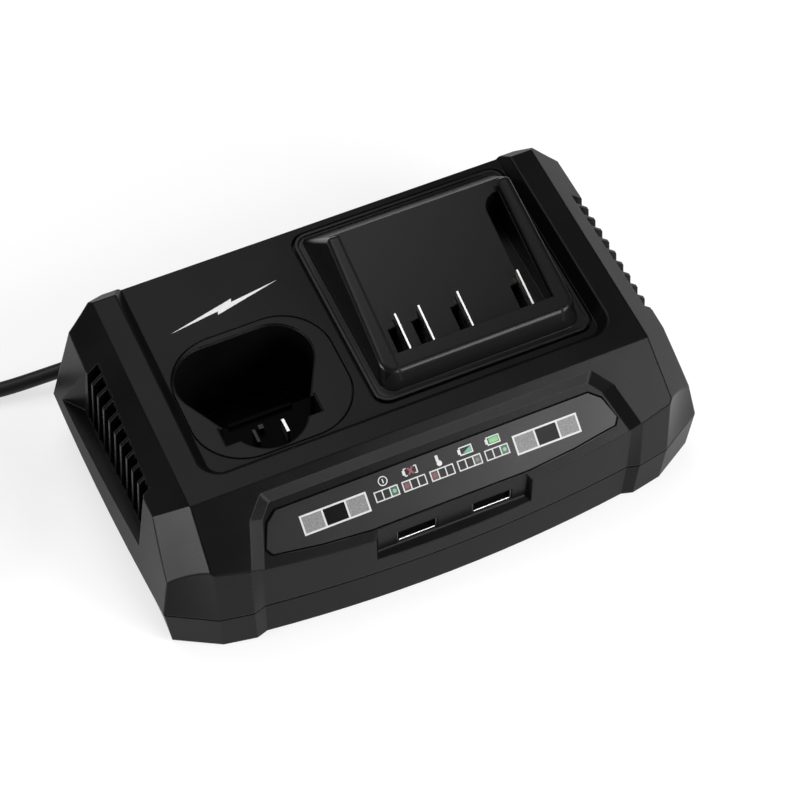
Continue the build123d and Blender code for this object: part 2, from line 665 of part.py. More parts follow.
with BuildPart() as display_board:
    add(window_plate((0, -15.6), (106.0, 12.0), LED_TOP - 3.2, LED_TOP - 1.6))
display_board.part.label = "display_board"

# ---------------------------------------------------------------- outlets
with BuildPart() as usb_board:
    with Locations((1.2, -38.8, USB_BOARD_Z)):
        Box(50.0, 19.0, BOARD_T, align=(Align.CENTER, Align.CENTER, Align.MIN))
    with Locations(*[(x, y, USB_BOARD_Z) for x, y in USB_POSTS]):
        Cylinder(1.3, 8, mode=Mode.SUBTRACT)
usb_board.part.label = "usb_board"


def usb_shell(x):
    """The folded steel shell of an outlet."""
    with BuildPart() as shell:
        with Locations((x, USB_BACK_Y + 0.3, USB_Z)):
            Box(13.2, 14.0, 5.3, align=(Align.CENTER, Align.MIN, Align.CENTER))
            Box(12.4, 13.5, 4.5, align=(Align.CENTER, Align.MIN, Align.CENTER), mode=Mode.SUBTRACT)
    return shell.part


def usb_tongue(x):
    """The contact tongue inside an outlet."""
    with BuildPart() as tongue:
        with Locations((x, USB_BACK_Y + 1.2, USB_Z + 0.4)):
            Box(11.2, 12.6, 1.8, align=(Align.CENTER, Align.MIN, Align.CENTER))
        with Locations((x, USB_BACK_Y + 11.0, USB_Z)):
            Box(12.4, 2.8, 4.5, align=(Align.CENTER, Align.MIN, Align.CENTER))
    return tongue.part


with BuildPart() as usb_shell_left:
    add(usb_shell(USB_X[0]))
usb_shell_left.part.label = "usb_shell_left"

with BuildPart() as usb_shell_right:
    add(usb_shell(USB_X[1]))
usb_shell_right.part.label = "usb_shell_right"

with BuildPart() as usb_tongue_left:
    add(usb_tongue(USB_X[0]))
usb_tongue_left.part.label = "usb_tongue_left"

with BuildPart() as usb_tongue_right:
    add(usb_tongue(USB_X[1]))
usb_tongue_right.part.label = "usb_tongue_right"

# ---------------------------------------------------------------- main board and its parts
BOARD_TOP = BOARD_Z + BOARD_T

with BuildPart() as main_board:
    with Locations((BOARD[0], BOARD[2], BOARD_Z)):
        Box(BOARD[1] - BOARD[0], BOARD[3] - BOARD[2], BOARD_T, align=Align.MIN)
    with Locations(*[(x, y, BOARD_Z) for x, y in BOARD_POSTS]):
        Cylinder(1.3, 8, mode=Mode.SUBTRACT)
main_board.part.label = "main_board"

CORE = (44.0, 22.0)
with BuildPart() as transformer_core:
    with Locations((*CORE, BOARD_TOP + 3.0)):
        Box(34.0, 12.0, 28.0, align=(Align.CENTER, Align.CENTER, Align.MIN))
        with Locations(*[(side * 9.6, 0, 5.0) for side in (1, -1)]):
            Box(8.0, 12.0, 18.0, align=(Align.CENTER, Align.CENTER, Align.MIN), mode=Mode.SUBTRACT)
transformer_core.part.label = "transformer_core"

with BuildPart() as transformer_winding:
    with BuildSketch(Plane.XY.offset(BOARD_TOP + 8.0)):
        with Locations(CORE):
            RectangleRounded(26.4, 26.0, 6.0)
            Rectangle(11.4, 12.2, mode=Mode.SUBTRACT)
    extrude(amount=17.6)
transformer_winding.part.label = "transformer_winding"

with BuildPart() as transformer_carrier:
    with Locations((*CORE, BOARD_TOP)):
        Box(36.0, 26.0, 3.0, align=(Align.CENTER, Align.CENTER, Align.MIN))
    chamfer(transformer_carrier.edges().filter_by(Axis.Z), 2.0)
transformer_carrier.part.label = "transformer_carrier"


def can(x, y, radius, height):
    """An electrolytic capacitor that stands on the board."""
    with BuildPart() as body:
        with Locations((x, y, BOARD_TOP)):
            Cylinder(radius, height, align=(Align.CENTER, Align.CENTER, Align.MIN))
        chamfer(body.edges().group_by(Axis.Z)[-1], 0.7)
    return body.part


with BuildPart() as bulk_capacitor:
    add(can(0.0, 35.0, 9.0, 27.0))
bulk_capacitor.part.label = "bulk_capacitor"

with BuildPart() as output_capacitors:
    for x in (30.0, 42.0, 54.0):
        add(can(x, -16.0, 5.0, 18.0))
output_capacitors.part.label = "output_capacitors"

with BuildPart() as line_choke:
    with Locations(Plane(origin=(2.0, 12.0, BOARD_TOP + 9.0), z_dir=(1, 0, 0))):
        Cylinder(9.0, 9.0)
        Cylinder(3.6, 9.0, mode=Mode.SUBTRACT)
line_choke.part.label = "line_choke"

with BuildPart() as line_fuse:
    with Locations(Plane(origin=(20.0, 42.0, BOARD_TOP + 3.2), z_dir=(1, 0, 0))):
        Cylinder(2.6, 20.0)
    with Locations(*[(20.0 + x, 42.0, BOARD_TOP) for x in (-8.4, 8.4)]):
        Box(3.0, 6.4, 4.0, align=(Align.CENTER, Align.CENTER, Align.MIN))
line_fuse.part.label = "line_fuse"

with BuildPart() as heat_sink:
    with Locations((16.0, 14.0, BOARD_TOP)):
        Box(2.0, 36.0, 24.0, align=(Align.CENTER, Align.CENTER, Align.MIN))
    with Locations(*[(19.0, 14.0 + y, BOARD_TOP + 4.0) for y in (-17, -8.5, 0, 8.5, 17)]):
        Box(6.0, 1.6, 20.0, align=(Align.CENTER, Align.CENTER, Align.MIN))
heat_sink.part.label = "heat_sink"

with BuildPart() as power_transistors:
    with Locations(*[(12.7, y, BOARD_TOP + 4.0) for y in (2.0, 26.0)]):
        Box(4.6, 10.2, 15.0, align=(Align.CENTER, Align.CENTER, Align.MIN))
    with Locations(*[(12.7, y + step, BOARD_TOP) for y in (2.0, 26.0) for step in (-2.5, 0, 2.5)]):
        Box(0.8, 1.0, 4.0, align=(Align.CENTER, Align.CENTER, Align.MIN))
power_transistors.part.label = "power_transistors"

# ---------------------------------------------------------------- screws and feet
with BuildPart() as case_screws:
    for x, y in SCREWS:
        for side in (1, -1):
            with Locations((side * x, y, 8.0)):
                Cylinder(3.0, 2.5, align=(Align.CENTER, Align.CENTER, Align.MIN))
                Box(4.0, 0.8, 1.6, mode=Mode.SUBTRACT)
                Box(0.8, 4.0, 1.6, mode=Mode.SUBTRACT)
            with Locations((side * x, y, 10.5)):
                Cylinder(1.5, 20.0, align=(Align.CENTER, Align.CENTER, Align.MIN))
case_screws.part.label = "case_screws"


def board_screw(x, y, top):
    """A small pan-head screw through a board into its post."""
    with BuildPart() as screw:
        with Locations((x, y, top)):
            Cylinder(2.2, 1.6, align=(Align.CENTER, Align.CENTER, Align.MIN))
            Cylinder(1.1, 5.0, align=(Align.CENTER, Align.CENTER, Align.MAX))
    return screw.part


with BuildPart() as board_screws:
    for x, y in BOARD_POSTS:
        add(board_screw(x, y, BOARD_TOP))
    for x, y in USB_POSTS:
        add(board_screw(x, y, USB_BOARD_Z + BOARD_T))
board_screws.part.label = "board_screws"

with BuildPart() as rubber_feet:
    with Locations(*[(side * x, y, 0) for x, y in FEET for side in (1, -1)]):
        Cylinder(FOOT_R, FOOT_H + 1.5, align=(Align.CENTER, Align.CENTER, Align.MIN))
    chamfer(rubber_feet.edges().group_by(Axis.Z)[0], 0.5)
rubber_feet.part.label = "rubber_feet"

# ---------------------------------------------------------------- mains cord
ELBOW = (GLAND[0], 62.4, GLAND[1] - 0.8)

with BuildPart() as cord_gland:
    with Locations(Plane(origin=(GLAND[0], 49.0, GLAND[1]), z_dir=(0, 1, 0))):
        Cylinder(GLAND_R, 13.0, align=(Align.CENTER, Align.CENTER, Align.MIN))
    with Locations(Plane(origin=(GLAND[0], REAR_Y, GLAND[1]), z_dir=(0, 1, 0))):
        Cylinder(7.2, 2.0, align=(Align.CENTER, Align.CENTER, Align.MIN))
    with Locations(ELBOW):
        Sphere(GLAND_R)
    reach = Vector(*CORD_ROUTE[0]) - Vector(*ELBOW)
    boot = Plane(origin=ELBOW, z_dir=reach)
    with Locations(boot):
        Cone(5.0, 3.3, reach.length, align=(Align.CENTER, Align.CENTER, Align.MIN))
    for i in range(4):
        with Locations(boot.offset(6.5 + 3.8 * i)):
            Cylinder(5.2 - 0.28 * i, 1.6, align=(Align.CENTER, Align.CENTER, Align.MIN))
cord_gland.part.label = "cord_gland"


def route_wire(points):
    """Straight runs joined by the largest arcs that they allow, with the arcs' radii."""
    corners = [Vector(*p) for p in points]
    radii = []
    for before, here, after in zip(corners, corners[1:], corners[2:]):
        turn = radians((here - before).get_angle(after - here))
        shorter = min((here - before).length, (after - here).length)
        radii.append(0.45 * shorter / tan(turn / 2))
    with BuildLine() as path:
        FilletPolyline(*corners, radius=radii)
    return path.wire(), radii


cord_path, cord_radii = route_wire(CORD_ROUTE)
print("cord radii", [round(r, 1) for r in cord_radii])

with BuildPart() as mains_cord:
    with BuildSketch(Plane(origin=CORD_ROUTE[0], z_dir=cord_path % 0)):
        Circle(CORD_D / 2)
    sweep(path=cord_path)
mains_cord.part.label = "mains_cord"
section = pi * CORD_D ** 2 / 4
print("cord volume over section x length", round(mains_cord.part.volume / (section * cord_path.length), 4))

TURN_R = COIL_R + 2 * CORD_D                  # outer turn
COIL_PLANE = Plane(origin=(*COIL_MID, 0), x_dir=(1, 0, 0), z_dir=(0, -1, 0))
PLUG_X = COIL_MID[0] - TURN_R
PLUG_Y = COIL_MID[1] - STUB                 # cord end of the plug
PLUG_Z = PLUG_H / 2

with BuildPart() as cord_tie:
    with BuildSketch(COIL_PLANE.offset(-3.0)):
        with Locations((COIL_R, COIL_H / 2 + 0.4)):
            Rectangle(COIL_W + 1.6, COIL_H + 0.8)
            Rectangle(COIL_W, COIL_H - 0.8, mode=Mode.SUBTRACT)
    extrude(amount=6.0)
cord_tie.part.label = "cord_tie"

with BuildPart() as cord_coil:
    with BuildSketch(COIL_PLANE) as coil_section:
        with Locations((COIL_R, COIL_H / 2)):
            Rectangle(COIL_W, COIL_H)
        chamfer(coil_section.vertices(), 1.4)
    revolve(axis=Axis((*COIL_MID, 0), (0, 0, 1)))
    # the two ends that leave the turns
    with Locations(Plane(origin=CORD_ROUTE[-1], z_dir=cord_path % 1)):
        Cylinder(CORD_D / 2, STUB, align=(Align.CENTER, Align.CENTER, Align.MIN))
    with Locations(Plane(origin=(PLUG_X, PLUG_Y, PLUG_Z), z_dir=(0, 1, 0))):
        Cylinder(CORD_D / 2, STUB, align=(Align.CENTER, Align.CENTER, Align.MIN))
    with Locations((COIL_MID[0] + COIL_R, COIL_MID[1], 0)):
        Box(COIL_W + 8, 6.0, 40, mode=Mode.SUBTRACT)
    with BuildSketch(COIL_PLANE.offset(-3.0)):
        with Locations((COIL_R, COIL_H / 2 + 0.4)):
            Rectangle(COIL_W, COIL_H - 0.8)
    extrude(amount=6.0)
cord_coil.part.label = "cord_coil"
coil_turns = (CORD_LENGTH - cord_path.length - 2 * STUB) / (2 * pi * COIL_R)
print("coil turns", round(coil_turns, 2))

with BuildPart() as mains_plug:
    # relief around the cord, then the flat six-sided body
    with Locations(Plane(origin=(PLUG_X, PLUG_Y, PLUG_Z), z_dir=(0, -1, 0))):
        Cone(3.2, 4.4, 10.0, align=(Align.CENTER, Align.CENTER, Align.MIN))
    with BuildSketch(Plane.XY):
        with BuildLine():
            right = [(4.5, -8.0), (7.5, -16.0), (17.6, -28.0), (17.6, -34.0)]
            left = [(-x, y) for x, y in reversed(right)]
            Polyline(*[(PLUG_X + x, PLUG_Y + y) for x, y in right + left], close=True)
        make_face()
    extrude(amount=PLUG_H)
    fillet(mains_plug.edges().filter_by(Axis.Z), 1.2)
mains_plug.part.label = "mains_plug"

with BuildPart() as plug_pins:
    pin = Plane(origin=(PLUG_X, PLUG_Y - 34.0, PLUG_Z), x_dir=(1, 0, 0), z_dir=(0, -1, 0))
    with Locations(*[pin * Location((x, 0, 0)) for x in (-9.3, 9.3)]):
        Cylinder(2.0, 19.0, align=(Align.CENTER, Align.CENTER, Align.MIN))
    chamfer(plug_pins.edges().group_by(Axis.Y)[0], 1.0)
plug_pins.part.label = "plug_pins"

# ---------------------------------------------------------------- export
PIECES = [
    upper_shell, lower_shell, slide_dock, slide_blades, slide_terminal_block,
    socket_cup, socket_blades, socket_terminal_block,
    indicator_overlay, window_left, window_right, light_guides, status_leds, display_board,
    usb_board, usb_shell_left, usb_shell_right, usb_tongue_left, usb_tongue_right,
    main_board, transformer_carrier, transformer_core, transformer_winding,
    bulk_capacitor, output_capacitors, line_choke, line_fuse, heat_sink, power_transistors,
    case_screws, board_screws, rubber_feet,
    cord_gland, mains_cord, cord_coil, cord_tie, mains_plug, plug_pins,
]
os.makedirs("parts", exist_ok=True)
for piece in PIECES:
    export_step(piece.part, f"parts/{piece.part.label}.step")
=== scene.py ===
"""Looks of the power tool battery charger: materials, cord, print, floor and lamps."""
import math

import bmesh
import bpy
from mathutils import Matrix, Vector


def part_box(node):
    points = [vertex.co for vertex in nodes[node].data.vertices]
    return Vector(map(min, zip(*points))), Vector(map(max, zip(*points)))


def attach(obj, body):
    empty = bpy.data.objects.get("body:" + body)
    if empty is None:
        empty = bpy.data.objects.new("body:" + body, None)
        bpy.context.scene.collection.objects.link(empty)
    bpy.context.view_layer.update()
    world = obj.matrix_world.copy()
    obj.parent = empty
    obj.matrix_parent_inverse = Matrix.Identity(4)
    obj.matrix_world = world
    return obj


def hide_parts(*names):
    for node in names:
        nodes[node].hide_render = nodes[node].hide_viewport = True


MM = 0.001

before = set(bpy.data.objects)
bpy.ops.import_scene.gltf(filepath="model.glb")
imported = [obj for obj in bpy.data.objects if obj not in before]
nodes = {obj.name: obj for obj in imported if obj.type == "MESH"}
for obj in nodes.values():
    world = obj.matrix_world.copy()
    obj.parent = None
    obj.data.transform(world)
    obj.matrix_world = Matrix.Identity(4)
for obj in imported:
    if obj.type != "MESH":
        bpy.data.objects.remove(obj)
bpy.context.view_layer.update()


def metres(x, y, z):
    """A point given in millimetres, as a vector in metres."""
    return Vector((x, y, z)) * MM


# ---------------------------------------------------------------- camera
VIEW_AZIMUTH = -24.2      # degrees
VIEW_ELEVATION = 55.2
VIEW_DISTANCE = 812.5     # millimetres, as the target is
VIEW_TARGET = (3.1, -6.9, 31.5)
LENS = 117.0
SENSOR = 36.0
NEAREST = 0.01            # metres


def add_camera():
    """A camera that looks at the target from the given angle and distance."""
    azimuth = math.radians(VIEW_AZIMUTH)
    elevation = math.radians(VIEW_ELEVATION)
    back = Vector((
        math.sin(azimuth) * math.cos(elevation),
        -math.cos(azimuth) * math.cos(elevation),
        math.sin(elevation),
    ))
    camera = bpy.data.objects.new("camera", bpy.data.cameras.new("camera"))
    bpy.context.collection.objects.link(camera)
    camera.data.lens = LENS
    camera.data.sensor_width = SENSOR
    camera.data.clip_start = NEAREST
    camera.location = metres(*VIEW_TARGET) + back * VIEW_DISTANCE * MM
    camera.rotation_euler = back.to_track_quat("Z", "Y").to_euler()
    bpy.context.scene.camera = camera


add_camera()

# ---------------------------------------------------------------- materials
# Noise scales are in cells per metre. A relief is a bump's strength and its depth in metres.
NOISE_LOW = 0.3           # most of a noise texture's values lie between these two
NOISE_HIGH = 0.7
SLOW_CELLS = 38.0         # slow changes of colour and gloss over a moulding
SLOW_DETAIL = 3.0
SLOW_COLOUR = 0.12        # their size, as a share of the colour and in roughness
SLOW_GLOSS = 0.04
METAL_SMOOTHER = 0.06     # how far a metal's marks go below and above its roughness
METAL_ROUGHER = 0.08
METAL_RELIEF = (0.15, 0.00002)
INK_CELLS = 600.0
INK_SHADE = 0.9           # colour factor where the ink's film is thin
INK_RELIEF = (0.1, 0.00001)
SPECK_RELIEF = (0.2, 0.00003)

EDGE_RADIUS = 0.5         # radius that a moulding's sharp edges are shaded with, in millimetres
EDGE_SAMPLES = 6

BAY_MIDDLE = 27.5         # the dock's bay: its middle, half width, floor and rise, in millimetres
BAY_HALF = 27.0
BAY_FLOOR = 57.8
BAY_SLOPE = 0.25
PAINTED_SHADE_WIDTH = 0.9           # width of the painted shade line inside each rail
PAINTED_HIGHLIGHT_BAR = (-13.2, 51.6)  # the front bar, where a highlight is painted, is forward of this y and above this z
PAINTED_MASK_PLAIN = 0.5          # the dock's mask on plain plastic: lower on the painted shade line, higher on the bar's painted highlight
PAINTED_MASK_REACH = 0.3
HIGHLIGHT_SHARE = 0.7          # the painted highlight's share of the reach
PAINTED_SHADE_FACTOR = 0.2          # colour factors of the painted shade line and of the painted highlight on the front bar
PAINTED_HIGHLIGHT_FACTOR = 1.8
LINE_DULLER = 0.4         # roughness added on the painted shade line


def new_material(name, colour, roughness, metallic=0.0):
    """A principled material, its node tree and its shader node."""
    material = bpy.data.materials.new(name)
    material.use_nodes = True
    tree = material.node_tree
    shader = tree.nodes["Principled BSDF"]
    shader.inputs["Base Color"].default_value = (*colour, 1.0)
    shader.inputs["Roughness"].default_value = roughness
    shader.inputs["Metallic"].default_value = metallic
    return material, tree, shader


def noise(tree, scale, detail=2.0, stretch=(1.0, 1.0, 1.0)):
    """Noise over the object's own coordinates."""
    coordinates = tree.nodes.new("ShaderNodeTexCoord")
    mapping = tree.nodes.new("ShaderNodeMapping")
    mapping.inputs["Scale"].default_value = stretch
    texture = tree.nodes.new("ShaderNodeTexNoise")
    texture.inputs["Scale"].default_value = scale
    texture.inputs["Detail"].default_value = detail
    tree.links.new(coordinates.outputs["Object"], mapping.inputs["Vector"])
    tree.links.new(mapping.outputs["Vector"], texture.inputs["Vector"])
    return texture.outputs["Fac"]


def calculate(tree, operation, first, second=0.0):
    """A math node over two values or sockets."""
    node = tree.nodes.new("ShaderNodeMath")
    node.operation = operation
    for socket, value in zip(node.inputs, (first, second)):
        if isinstance(value, (int, float)):
            socket.default_value = value
        else:
            tree.links.new(value, socket)
    return node.outputs["Value"]


def spread(tree, value, low, high):
    """A noise value mapped to a range."""
    node = tree.nodes.new("ShaderNodeMapRange")
    node.inputs["From Min"].default_value = NOISE_LOW
    node.inputs["From Max"].default_value = NOISE_HIGH
    node.inputs["To Min"].default_value = low
    node.inputs["To Max"].default_value = high
    tree.links.new(value, node.inputs["Value"])
    return node.outputs["Result"]


def tint(tree, value, dark, light):
    """A noise or mask value mapped to a colour between two."""
    ramp = tree.nodes.new("ShaderNodeValToRGB")
    ramp.color_ramp.elements[0].position = NOISE_LOW
    ramp.color_ramp.elements[1].position = NOISE_HIGH
    ramp.color_ramp.elements[0].color = (*dark, 1.0)
    ramp.color_ramp.elements[1].color = (*light, 1.0)
    tree.links.new(value, ramp.inputs["Fac"])
    return ramp.outputs["Color"]


def scaled(colour, factor):
    """A colour made darker or lighter by a factor."""
    return tuple(c * factor for c in colour)


def add_bump(tree, shader, value, strength, depth):
    """Surface relief from a noise value."""
    bump = tree.nodes.new("ShaderNodeBump")
    bump.inputs["Strength"].default_value = strength
    bump.inputs["Distance"].default_value = depth
    tree.links.new(value, bump.inputs["Height"])
    tree.links.new(bump.outputs["Normal"], shader.inputs["Normal"])


def soften_edges(tree):
    """Shades the moulding's sharp edges as if they had a small radius."""
    softened = tree.nodes.new("ShaderNodeBevel")
    softened.samples = EDGE_SAMPLES
    softened.inputs["Radius"].default_value = EDGE_RADIUS * MM
    bump = next(node for node in tree.nodes if node.type == "BUMP")
    tree.links.new(softened.outputs["Normal"], bump.inputs["Normal"])


def moulded_plastic(name, colour, roughness, grain=1900.0, relief=(0.25, 0.00004), specular=0.5):
    """Injection-moulded plastic: fine spark-eroded grain and slow changes of gloss."""
    material, tree, shader = new_material(name, colour, roughness)
    shader.inputs["Specular IOR Level"].default_value = specular
    slow = noise(tree, SLOW_CELLS, SLOW_DETAIL)
    uneven = tint(tree, slow, scaled(colour, 1.0 - SLOW_COLOUR), scaled(colour, 1.0 + SLOW_COLOUR))
    tree.links.new(uneven, shader.inputs["Base Color"])
    gloss = spread(tree, slow, roughness - SLOW_GLOSS, roughness + SLOW_GLOSS)
    tree.links.new(gloss, shader.inputs["Roughness"])
    add_bump(tree, shader, noise(tree, grain), *relief)
    return material


def dock_plastic_with_painted_light(name, colour, roughness, grain, relief, specular):
    """The slide dock's plastic, with painted light: a line of painted shade inside each rail, and a
    painted highlight that makes the front bar paler.
    """
    material = moulded_plastic(name, colour, roughness, grain, relief, specular)
    tree = material.node_tree
    shader = tree.nodes["Principled BSDF"]
    coordinates = tree.nodes.new("ShaderNodeTexCoord")
    parts = tree.nodes.new("ShaderNodeSeparateXYZ")
    tree.links.new(coordinates.outputs["Object"], parts.inputs["Vector"])

    # The painted shade line: just outside the bay's half width, above its inclined floor.
    over_floor = tree.nodes.new("ShaderNodeVectorMath")
    over_floor.operation = "DOT_PRODUCT"
    over_floor.inputs[1].default_value = (0.0, -BAY_SLOPE, 1.0)
    tree.links.new(coordinates.outputs["Object"], over_floor.inputs[0])
    raised = calculate(tree, "GREATER_THAN", over_floor.outputs["Value"], BAY_FLOOR * MM)
    across = calculate(tree, "SUBTRACT", parts.outputs["X"], BAY_MIDDLE * MM)
    across = calculate(tree, "ABSOLUTE", across)
    outside = calculate(tree, "GREATER_THAN", across, BAY_HALF * MM)
    line = calculate(tree, "LESS_THAN", across, (BAY_HALF + PAINTED_SHADE_WIDTH) * MM)
    line = calculate(tree, "MULTIPLY", line, calculate(tree, "MULTIPLY", outside, raised))

    # The painted highlight on the front bar: forward of the bay and above the deck.
    forward = calculate(tree, "LESS_THAN", parts.outputs["Y"], PAINTED_HIGHLIGHT_BAR[0] * MM)
    high = calculate(tree, "GREATER_THAN", parts.outputs["Z"], PAINTED_HIGHLIGHT_BAR[1] * MM)
    painted_highlight = calculate(tree, "MULTIPLY", forward, high)

    shade_highlight_mask = calculate(tree, "SUBTRACT", calculate(tree, "MULTIPLY", painted_highlight, HIGHLIGHT_SHARE), line)
    shade_highlight_mask = calculate(tree, "ADD", calculate(tree, "MULTIPLY", shade_highlight_mask, PAINTED_MASK_REACH), PAINTED_MASK_PLAIN)
    # Painted light in the base colour: painted shade on the line inside each rail, a painted
    # highlight on the front bar.
    shade_and_highlight_colour = tint(tree, shade_highlight_mask, scaled(colour, PAINTED_SHADE_FACTOR), scaled(colour, PAINTED_HIGHLIGHT_FACTOR))
    tree.links.new(shade_and_highlight_colour, shader.inputs["Base Color"])
    duller = calculate(tree, "MULTIPLY", line, LINE_DULLER)
    tree.links.new(calculate(tree, "ADD", duller, roughness), shader.inputs["Roughness"])
    return material


def metal(name, colour, roughness, brushed=(1.0, 1.0, 1.0), marks_scale=900.0):
    """Metal with fine rolling or brushing marks."""
    material, tree, shader = new_material(name, colour, roughness, metallic=1.0)
    marks = noise(tree, marks_scale, 3.0, brushed)
    gloss = spread(tree, marks, roughness - METAL_SMOOTHER, roughness + METAL_ROUGHER)
    tree.links.new(gloss, shader.inputs["Roughness"])
    add_bump(tree, shader, marks, *METAL_RELIEF)
    return material


def metal_with_painted_shade(name, painted_shade_colour, bright, roughness):
    """The socket's contacts, with painted shade: dark on the left two thirds, the metal's own
    bright colour on the right blade.
    """
    material = metal(name, bright, roughness)
    tree = material.node_tree
    coordinates = tree.nodes.new("ShaderNodeTexCoord")
    parts = tree.nodes.new("ShaderNodeSeparateXYZ")
    tree.links.new(coordinates.outputs["Object"], parts.inputs["Vector"])
    low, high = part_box("socket_blades")
    right = calculate(tree, "GREATER_THAN", parts.outputs["X"], (low.x + 2 * high.x) / 3)
    # Painted shade: the contacts left of the right blade get the dark colour.
    colour = tint(tree, right, painted_shade_colour, bright)
    tree.links.new(colour, tree.nodes["Principled BSDF"].inputs["Base Color"])
    return material


def lacquer(name, colour, roughness):
    """Printed ink or clear lacquer with a slightly uneven film."""
    material, tree, shader = new_material(name, colour, roughness)
    film = noise(tree, INK_CELLS)
    tree.links.new(tint(tree, film, scaled(colour, INK_SHADE), colour), shader.inputs["Base Color"])
    add_bump(tree, shader, film, *INK_RELIEF)
    return material


def speckled(name, dark, light, roughness, grain):
    """A two-tone grain, such as a diffusing window, ferrite or a circuit board."""
    material, tree, shader = new_material(name, light, roughness)
    specks = noise(tree, grain, 4.0)
    tree.links.new(tint(tree, specks, dark, light), shader.inputs["Base Color"])
    add_bump(tree, shader, specks, *SPECK_RELIEF)
    return material


MATERIALS = {
    "shell": moulded_plastic("shell_black", (0.0032, 0.0032, 0.0034), 0.28, specular=0.08),
    # The dock's plastic has painted shade inside the rails and a painted highlight on the front
    # bar.
    "dock": dock_plastic_with_painted_light(
        "dock_black", (0.0032, 0.0032, 0.0034), 0.26,
        grain=1400.0, relief=(0.15, 0.00003), specular=0.18,
    ),
    "tray": moulded_plastic("tray_black", (0.0028, 0.0028, 0.0030), 0.32, specular=0.05),
    "socket": moulded_plastic(
        "socket_black", (0.0026, 0.0026, 0.0028), 0.30,
        grain=1500.0, relief=(0.2, 0.00003), specular=0.10,
    ),
    "terminal": moulded_plastic("terminal_black", (0.0006, 0.0006, 0.0006), 0.45, specular=0.02),
    "film": moulded_plastic(
        "overlay_film", (0.0055, 0.0055, 0.0057), 0.30,
        grain=1500.0, relief=(0.3, 0.00004), specular=0.20,
    ),
    "window": moulded_plastic(
        "window_dark", (0.004, 0.004, 0.0045), 0.20,
        grain=2600.0, relief=(0.1, 0.00001), specular=0.06,
    ),
    "silver": speckled(
        "diffuser_silver", (0.075, 0.075, 0.075), (0.175, 0.175, 0.175), 0.5, grain=2600.0
    ),
    "white_ink": lacquer("white_ink", (0.46, 0.46, 0.46), 0.5),
    # The dark line along the film's edge.
    "film_edge_black": moulded_plastic("film_edge_black", (0.0008, 0.0008, 0.0008), 0.8, specular=0.02),
    "bolt_ink": lacquer("bolt_ink", (0.66, 0.66, 0.66), 0.45),
    "green_ink": lacquer("green_ink", (0.07, 0.27, 0.17), 0.45),
    "bright_green_ink": lacquer("bright_green_ink", (0.11, 0.36, 0.12), 0.45),
    "red_ink": lacquer("red_ink", (0.18, 0.022, 0.04), 0.45),
    "field_green": lacquer("field_green", (0.010, 0.055, 0.026), 0.4),
    "field_red": lacquer("field_red", (0.055, 0.012, 0.018), 0.4),
    "field_dim": lacquer("field_dim", (0.022, 0.030, 0.026), 0.4),
    "lamp_green": lacquer("lamp_green", (0.13, 0.30, 0.18), 0.3),
    "lamp_red": lacquer("lamp_red", (0.12, 0.025, 0.035), 0.3),
    "lamp_dim": lacquer("lamp_dim", (0.08, 0.10, 0.085), 0.3),
    "contact": metal("contact_tin", (0.92, 0.91, 0.88), 0.28, brushed=(1.0, 0.2, 1.0)),
    "nickel": metal("nickel", (0.75, 0.74, 0.72), 0.22),
    "shell_steel": metal("shell_steel", (0.10, 0.10, 0.10), 0.35),
    "lip": metal("lip_steel", (0.62, 0.62, 0.61), 0.45),
    # The socket's contacts have painted shade on all but the right blade.
    "socket_blade": metal_with_painted_shade("socket_blade", (0.02, 0.02, 0.02), (0.55, 0.54, 0.53), 0.36),
    "aluminium": metal("aluminium", (0.80, 0.81, 0.82), 0.35, brushed=(0.2, 1.0, 1.0)),
    "zinc": metal("zinc", (0.62, 0.62, 0.60), 0.38),
    "acrylic": lacquer("acrylic", (0.75, 0.78, 0.80), 0.15),
    "led": lacquer("led_body", (0.85, 0.80, 0.62), 0.35),
    "board": speckled("board_green", (0.01, 0.09, 0.03), (0.02, 0.14, 0.05), 0.35, grain=260.0),
    "ferrite": speckled("ferrite", (0.025, 0.025, 0.027), (0.06, 0.06, 0.062), 0.6, grain=1500.0),
    "tape": lacquer("winding_tape", (0.72, 0.46, 0.04), 0.35),
    "sleeve": lacquer("capacitor_sleeve", (0.015, 0.02, 0.07), 0.3),
    "copper": metal(
        "copper_wire", (0.62, 0.26, 0.11), 0.32, brushed=(6.0, 1.0, 1.0), marks_scale=500.0
    ),
    "ceramic": speckled("fuse_ceramic", (0.55, 0.53, 0.48), (0.72, 0.70, 0.64), 0.4, grain=700.0),
    "epoxy": moulded_plastic("epoxy", (0.02, 0.02, 0.02), 0.5),
    "rubber": moulded_plastic(
        "foot_rubber", (0.010, 0.010, 0.010), 0.7,
        grain=1200.0, relief=(0.35, 0.00005), specular=0.2,
    ),
    "cord": moulded_plastic(
        "cord_pvc", (0.0045, 0.0045, 0.0045), 0.42,
        grain=900.0, relief=(0.15, 0.00003), specular=0.22,
    ),
}

for key in ("shell", "tray", "dock", "socket", "terminal"):
    soften_edges(MATERIALS[key].node_tree)

